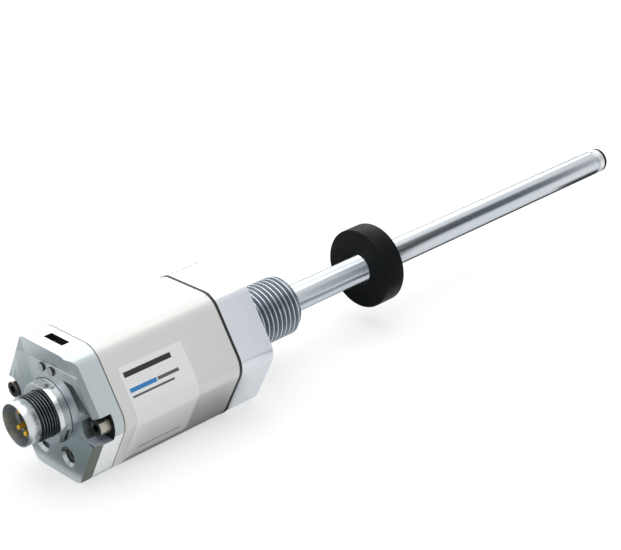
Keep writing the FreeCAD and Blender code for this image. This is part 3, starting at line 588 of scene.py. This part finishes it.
# %% The sleeve
place("housing_extrusion", copied("housing_sleeve"), [champagne_aluminium],
      "housing_sleeve", soften=0.2)

# %% [markdown]
# ### The front cap
#
# The cap is the busiest piece: a casting with a sloped bar on its face, a round well for
# the connector, two corner notches for the screws, two ports and a slot in its top. The
# lower left corner of the bar is moved back, so that the bar runs out smoothly into the
# ramp there. The cap's rounded edges take a painted highlight, a near-white metal that
# draws the bright line that each of them shows. Painted shade darkens the well's floor,
# the ports, the chamfer under the cap and the backs of the notches, and painted light
# brightens the ledge, the lower right flats and the notches' floors. A face's finish
# follows from where it lies and which way it looks. Its normal says that: forward, away
# from the middle and up are each 1 for a face that looks straight that way, and 0 for a
# face that looks square to it.

# %% The cap's shape
cap_front, cap_back = (round(x, 2) for x in ends("front_cap"))
LEDGE = 16.5
BAR_LEFT = 11.0
RAMP_DEPTH = 0.64
cap = copied("front_cap")
bar_corner = [vert for vert in cap.verts if abs(vert.co.y / MM - BAR_LEFT) < NEAR
              and abs(vert.co.z / MM - LEDGE) < NEAR]
for vert in bar_corner:
    vert.co.x = (cap_front + RAMP_DEPTH) * MM
bmesh.ops.triangulate(cap, faces=list({face for vert in bar_corner for face in vert.link_faces}))
bmesh.ops.remove_doubles(cap, verts=cap.verts, dist=JOIN)
bmesh.ops.dissolve_degenerate(cap, edges=cap.edges, dist=JOIN)
print(len(bar_corner), "points of the bar's corner moved")

# %% The cap's finishes
BLASTED, HIGHLIGHT, SLOT_PLUG, SHADED_RECESS, SHADOW, SHADED_CHAMFER, NOTCH = range(7)
CAP_FINISHES = [blasted_aluminium, highlight_edge, moulded_black, shaded_recess, black_shade,
                shaded_chamfer, notch_painted_light]
SLOT_LOW = (-68.8, -5.1, 20.7)
SLOT_HIGH = (-65.4, 5.1, 22.9)
WELL_FLOOR = cap_front + 3.1
NOTCH_REACH = 15.9
NOTCH_HALF = 4.85
PORT_SIDE = 7.0
PORT_DROP = -14.4
PORT_MOUTH = 3.6


def cap_finish(face):
    """The number of the finish that a face of the cap takes."""
    x, y, z = face.calc_center_median() / MM
    forward, away, up = -face.normal.x, face.normal.y * math.copysign(1, y), face.normal.z
    on_right = y < 0
    if all(low < value < high for low, value, high in zip(SLOT_LOW, (x, y, z), SLOT_HIGH)):
        return SLOT_PLUG
    in_notch = abs(y) > NOTCH_REACH and abs(z) < NOTCH_HALF and cap_front + 1 < x < cap_back - 0.1
    # painted shadow at the notches' backs and upper walls, painted light on their floors
    if in_notch and away < 0.5:
        return SHADOW if forward > 0.7 or up < -0.5 else NOTCH
    # painted shade on the chamfer under the cap
    if 0.3 < forward < 0.9 and away > 0.2 and up < -0.1 and on_right:
        return SHADED_CHAMFER
    # painted highlight on the lower right flats
    if away > 0.8 and -0.55 < up < -0.45 and on_right:
        return HIGHLIGHT
    # painted highlight along the ledge
    if abs(z - LEDGE) < 0.2 and up > 0.8:
        return HIGHLIGHT
    # painted shade on the well's floor
    if abs(x - WELL_FLOOR) < 0.1 and forward > 0.9:
        return SHADED_RECESS
    # painted shade inside the ports
    in_port = math.hypot(abs(y) - PORT_SIDE, z - PORT_DROP) < PORT_MOUTH
    return SHADED_RECESS if in_port and forward < 0.5 else BLASTED


for face in cap.faces:
    face.material_index = cap_finish(face)
# The rounded edges take the painted highlight.
place("front_cap_casting", cap, CAP_FINISHES, "front_cap", sharp=20, soften=0.4,
      segments=3, edge=HIGHLIGHT)

# %% The two seals
SEAL_BULGE = 0.15
# The seal's outer faces lie farther from the axis than this.
SEAL_OUTSIDE = 20
place("cap_seam", copied("cap_gasket"), [grey_rubber], "cap_gasket")
seal = copied("flange_gasket")
seal_middle = sum(ends("flange_gasket")) / 2
for vert in seal.verts:
    radius = off_axis(vert.co)
    if radius > SEAL_OUTSIDE * MM:
        vert.co.y *= 1 + SEAL_BULGE * MM / radius
        vert.co.z *= 1 + SEAL_BULGE * MM / radius
        vert.co.x += SEAL_BULGE * MM * (-1 if vert.co.x < seal_middle * MM else 1)
place("flange_seal", seal, [black_rubber], "flange_gasket")

# %% [markdown]
# ### Screws and windows
#
# Small faces are found in the same way: the screws' sockets, painted black as shade, and
# their darker front faces, and the front ends of the light pipes, which are clear while
# their sides are painted black as shade.

# %% Screws and windows
SCREW_SIDE = 20.7
SOCKET_REACH = 1.6
SOCKET_FLOOR = -67
# A face looks to the front where its normal's x is below this.
FRONT = -0.5
screws = copied("cap_screws")
for face in screws.faces:
    middle = face.calc_center_median() / MM
    from_screw = math.hypot(abs(middle.y) - SCREW_SIDE, middle.z)
    # painted shade in the sockets
    if from_screw < SOCKET_REACH and middle.x < SOCKET_FLOOR:
        face.material_index = 2
    elif face.normal.x < FRONT:
        face.material_index = 1
place("tie_screws", screws, [oiled_steel, darker_face_steel, black_shade],
      "cap_screws", soften=0.15)

# The port plugs' front faces are darker; the light pipes' sides are painted black as shade.
for name, node, finishes, slot in (
        ("port_plugs", "port_screws", [oiled_steel, darker_face_steel], "screw_steel"),
        ("lamp_windows", "light_pipes", [clear_window, moulded_black], "lamp_pipe")):
    small = copied(node)
    for face in small.faces:
        face.material_index = 0 if face.normal.x < FRONT else 1
    place(name, small, finishes, node, soften=0.12)

# %% [markdown]
# ## The connector
#
# A plain nickel sleeve with a thin lip forms the mouth. Behind it sits the fine thread
# for the cable's coupling nut, then the bright ring nut that holds the connector in
# the cap. The nut's collar reaches over the first turns of the thread, and its front
# edge slopes. Inside, five gold pins with round tips stand in a black insert.

# %% The sleeve and its thread
MOUTH = 7.45
MOUTH_BORE = 7.1
MOUTH_LENGTH = 4.8
LIP = 0.12
SHELL_BODY = 7.3
SHELL_BORE = 6.2
CONNECTOR = 8.0
FINE_PITCH = 1.0
shell_start, shell_end = ends("connector_shell")
nut_start = ends("connector_nut")[0]
thread_start = shell_start + MOUTH_LENGTH
shell = turned([
    (shell_start, MOUTH_BORE), (shell_start, MOUTH), (thread_start - 0.3, MOUTH),
    (thread_start, SHELL_BODY), (shell_end, SHELL_BODY), (shell_end, SHELL_BORE),
    (thread_start, SHELL_BORE), (thread_start, MOUTH_BORE),
], {0: 0.1, 1: 0.15, 6: 0.1})
for face in shell.faces:
    middle = face.calc_center_median() / MM
    if off_axis(middle) < MOUTH_BORE + 0.02 and middle.x > shell_start + LIP:
        face.material_index = 1
place("connector_sleeve", shell, [bright_nickel, satin_nickel], "connector_shell")
fine_thread = threaded(thread_start, nut_start + 0.3, CONNECTOR, FINE_PITCH, SHELL_BODY - 0.1,
                       lead_out=0.6)
place("connector_thread", fine_thread, [nickel_ridge, black_nickel],
      "connector_shell", sharp=60)

# %% The ring nut
NUT_COLLAR = 2.0
NUT_BEVEL = 0.5
NUT_NOSE = 1.4
nut = copied("connector_nut")
for vert in nut.verts:
    inward = vert.co.x / MM - nut_start
    if inward < NUT_BEVEL + 0.05:
        vert.co.x = (nut_start - NUT_COLLAR + inward * NUT_NOSE / NUT_BEVEL) * MM
place("ring_nut", nut, [bright_nickel], "connector_nut", soften=0.4, segments=4)

# %% The insert and its pins
PIN_TIP = 0.6
place("pin_insert", copied("connector_insert"), [moulded_black],
      "connector_insert", soften=0.15)
pins = copied("connector_pins")
pin_front = ends("connector_pins")[0]
tips = [edge for edge in pins.edges
        if all(vert.co.x < (pin_front + NEAR) * MM for vert in edge.verts)]
bmesh.ops.bevel(pins, geom=tips, offset=PIN_TIP * MM, offset_type="OFFSET", segments=5,
                profile=0.5, affect="EDGES", material=-1)
place("contact_pins", pins, [hard_gold], "connector_pins", sharp=50)

# %% [markdown]
# ## The type label
#
# The label is one strip of film round the housing's right corner. The CAD copy is cut
# along straight lines, and the small faces between them take an ink instead of the
# film. The bars stand for the lines that a label has, and say nothing.

# %% The type label
UPPER_ALONG = Vector((0, 0.5, math.sqrt(3) / 2))
LOWER_ALONG = Vector((0, -0.5, math.sqrt(3) / 2))
BLACK, BLUE, GREY = 1, 2, 3
# Each bar: the flat it is on, its ends along X and across the flat in mm, and its ink.
BARS = [
    (UPPER_ALONG, -56.8, -38.0, 0.3, 2.1, BLACK),
    (UPPER_ALONG, -56.8, -46.2, -4.8, -3.4, BLUE),
    (UPPER_ALONG, -45.8, -37.2, -4.6, -3.5, GREY),
    (UPPER_ALONG, -56.7, -40.0, -6.6, -5.9, GREY),
    (LOWER_ALONG, -53.4, -36.0, -4.7, -4.35, BLACK),
]
film = copied("type_label")


def on_flat(face, along):
    """True for a face on the outside of the flat that runs this way."""
    outward = along.cross(Vector(AXIS))
    return abs(face.normal.dot(outward)) > 0.999 and face.calc_center_median().z * along.y > 0


for along, x_low, x_high, low, high, ink in BARS:
    cuts = [((x_low * MM, 0, 0), AXIS), ((x_high * MM, 0, 0), AXIS),
            (along * low * MM, along), (along * high * MM, along)]
    for point, normal in cuts:
        faces = [face for face in film.faces if on_flat(face, along)]
        around = {item for face in faces for item in (*face.verts, *face.edges, face)}
        bmesh.ops.bisect_plane(film, geom=list(around), dist=JOIN, plane_co=point,
                               plane_no=normal)
    for face in film.faces:
        middle = face.calc_center_median() / MM
        in_bar = x_low < middle.x < x_high and low < middle.dot(along) < high
        if in_bar and on_flat(face, along):
            face.material_index = ink
place("label_film", film, [polyester_film, black_ink, blue_ink, grey_ink],
      "type_label")

# %% [markdown]
# ## The pieces inside
#
# The boards, the pickup coil and the waveguide are sealed in and never seen whole.
# Their CAD meshes stay as they are and only get the finish of the real part.

# %% Finishes for the sealed pieces
INSIDE = {
    "connector_seal": black_rubber, "connector_board": solder_mask, "main_board": solder_mask,
    "board_parts": moulded_black, "board_carrier": carrier_nylon, "pickup_head": carrier_nylon,
    "pickup_coil": enamelled_copper, "return_wire": enamelled_copper,
    "waveguide": polished_stainless, "waveguide_liner": liner_ptfe,
    "liner_spacers": red_silicone, "damping_plug": red_silicone, "end_clamp": hard_gold,
}
for node, material in INSIDE.items():
    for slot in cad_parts[node].material_slots:
        slot.material = material
print(len(INSIDE), "sealed nodes have their finish")

# %% [markdown]
# ## The floor and the light
#
# The object lies on a white table under a large soft lamp, with a second soft lamp
# behind it. The table and the room are white wherever the camera, metal or glass looks
# at them. Where they only light the object they are dimmer, and the table still takes
# the shadow. A Light Path node tells the two cases apart.

# %% What a ray is for
def emptied(owner):
    """The node tree of a new material or world, without its first nodes."""
    owner.use_nodes = True
    owner.node_tree.nodes.clear()
    return owner.node_tree


def looked_at(tree):
    """An output that is 1 for a ray from the camera, a reflection or glass, else 0."""
    path = add(tree, "ShaderNodeLightPath")
    seen = path.outputs["Is Camera Ray"]
    for kind in ("Is Glossy Ray", "Is Transmission Ray"):
        larger = add(tree, "ShaderNodeMath", {0: seen, 1: path.outputs[kind]},
                     operation="MAXIMUM")
        seen = larger.outputs[0]
    return seen


# %% The table's white
WHITE = (1, 1, 1, 1)
TABLE_PAPER = "F2F2F2"
# How much of the table is a plain glow where it is seen, and how bright that glow is.
GLOW_SHARE = 0.45
GLOW = 1.3
white_table = bpy.data.materials.new("white_table")
tree = emptied(white_table)
share = add(tree, "ShaderNodeMath", {0: looked_at(tree), 1: GLOW_SHARE}, operation="MULTIPLY")
paper = add(tree, "ShaderNodeBsdfDiffuse", {"Color": linear(TABLE_PAPER)})
glow = add(tree, "ShaderNodeEmission", {"Color": WHITE, "Strength": GLOW})
both = add(tree, "ShaderNodeMixShader",
           {0: share.outputs[0], 1: paper.outputs[0], 2: glow.outputs[0]})
add(tree, "ShaderNodeOutputMaterial", {"Surface": both.outputs[0]})

# %% The room
ROOM_LIGHT = 0.5
ROOM_SEEN = 1.0
world = bpy.data.worlds.new("white_room")
scene.world = world
tree = emptied(world)
level = add(tree, "ShaderNodeMapRange",
            {"Value": looked_at(tree), "To Min": ROOM_LIGHT, "To Max": ROOM_SEEN})
room = add(tree, "ShaderNodeBackground", {"Color": WHITE, "Strength": level.outputs[0]})
add(tree, "ShaderNodeOutputWorld", {"Surface": room.outputs[0]})
print("the room's light is", ROOM_LIGHT, "and it looks", ROOM_SEEN)

# %% [markdown]
# ## Cards and lamps
#
# Polished metal in an all-white room looks flat, so photographers hang grey cards beside
# it. These cards are seen in reflections only: they throw no shadow and the camera
# doesn't see them. Some hang beside the object and face it, others lie on the table.
# Their sizes and places are in millimetres.

# %% A card
def stage_card(name, width, height, stand, material):
    """A flat card of the studio. The matrix stand says where it is and how it is turned."""
    bm = bmesh.new()
    matrix = stand @ Matrix.Diagonal((width * MM, height * MM, 1, 1))
    bmesh.ops.create_grid(bm, x_segments=1, y_segments=1, size=0.5, matrix=matrix)
    mesh = bpy.data.meshes.new(name)
    bm.to_mesh(mesh)
    bm.free()
    mesh.materials.append(material)
    card = bpy.data.objects.new(name, mesh)
    scene.collection.objects.link(card)
    return card


def grey_card(name, colour, width, height, stand):
    """A grey card that only shows in reflections."""
    material = finish(name + "_paper", colour, colour, 0.9, cloud=200, relief=0.0)
    card = stage_card(name, width, height, stand, material)
    card.visible_camera = False
    card.visible_diffuse = False
    card.visible_shadow = False
    return card


# %% Hung and laid cards
MIDDLE = (60, 0, 0)
FLOOR = cad_box[0][2]
# How far a card lies above the table, so that the two don't meet.
LIFT = 0.3


def hung(where, facing=MIDDLE):
    """The stand of a card that hangs at a place and faces another."""
    turn = (Vector(facing) - Vector(where)).to_track_quat("Z", "Y")
    return Matrix.Translation(Vector(where) * MM) @ turn.to_matrix().to_4x4()


def table_card(name, colour, corners):
    """A grey card that lies on the table, with its four corners given as (x, y).

    The corners come in two pairs, each from left to right.
    """
    card = grey_card(name, colour, 1, 1, Matrix())
    for vert, (x, y) in zip(card.data.vertices, corners):
        vert.co = (x * MM, y * MM, FLOOR + LIFT * MM)
    return card


def table_strip(name, colour, left, right, near, far):
    """A rectangular table card."""
    return table_card(name, colour, [(left, near), (right, near), (left, far), (right, far)])


# %% A lamp
def lamp(name, width, height, where, radiance):
    """A soft rectangular lamp that looks as bright as radiance, where 1 is white."""
    light = bpy.data.lights.new(name, "AREA")
    light.shape = "RECTANGLE"
    light.size = width * MM
    light.size_y = height * MM
    light.energy = radiance * math.pi * light.size * light.size_y
    thing = bpy.data.objects.new(name, light)
    thing.location = Vector(where) * MM
    thing.rotation_euler = (Vector(MIDDLE) - Vector(where)).to_track_quat("-Z", "Y").to_euler()
    scene.collection.objects.link(thing)
    print(f"{name}: {light.energy:.1f} W")


# %% The table and the lamps
TABLE_SIDE = 12000
stage_card("table", TABLE_SIDE, TABLE_SIDE, Matrix.Translation((0, 0, FLOOR)), white_table)
lamp("overhead_softbox", 1600, 1600, (0, 100, 1200), 1.3)
lamp("rear_softbox", 1500, 900, (700, 1000, 620), 1.6)

# %% The cards
DARK = "12161A"
# The rod's dark band: deep just beyond the magnet, then narrower and paler to the tip.
grey_card("rod_card_root", "B4BCC2", 70, 230, hung((204, -218, 58), (204, 0, 0)))
grey_card("rod_card_dark", "07090B", 75, 420, hung((275.5, -187, 127), (275.5, 0, 0)))
grey_card("rod_card_grey", "4E565C", 240, 250, hung((432, -176, 142), (432, 0, 0)))
# The thin grey line along the rod's upper edge.
grey_card("edge_card", "2A3036", 470, 86, hung((365, 250, 17), (365, 0, 17)))
# Painted shade: dark strips on the table, seen only in reflections, draw the dark line
# along the rod's lower edge, wider at the tip; a grey strip lies under its root.
table_strip("rod_strip", DARK, 95, 205, -4, 60)
table_strip("tip_strip", DARK, 205, 330, -14, 60)
table_strip("root_strip", "9AA2A6", 34, 84, -150, -26)
table_strip("foot_strip", DARK, 34, 95, 2, 60)
# Painted shade: a dark card and strip draw the darkening of the rod in front of the magnet.
grey_card("shade_card", "1E2429", 26, 60, hung((119, -60, 8), (119, 0, 8)))
table_strip("shade_strip", "2E353A", 84, 108, -60, -22)
# The grey of the cap's bevels, which face the camera, and of the cap's face.
grey_card("camera_card", "9AA2A6", 900, 700, hung((-620, -900, 580)))
table_strip("face_card", "9AA4A7", -260, -76, -30, 62)
# Painted shade: dark table cards, seen only in reflections, make the sleeve's lower right
# flat darken towards its foot.
table_card("sleeve_foot", "1C1F20", [(-66, -4), (-21, -4), (-53, -18), (-8, -18)])
table_card("sleeve_flank", "7A7D7C", [(-53, -18), (-8, -18), (-45, -25), (0, -25)])
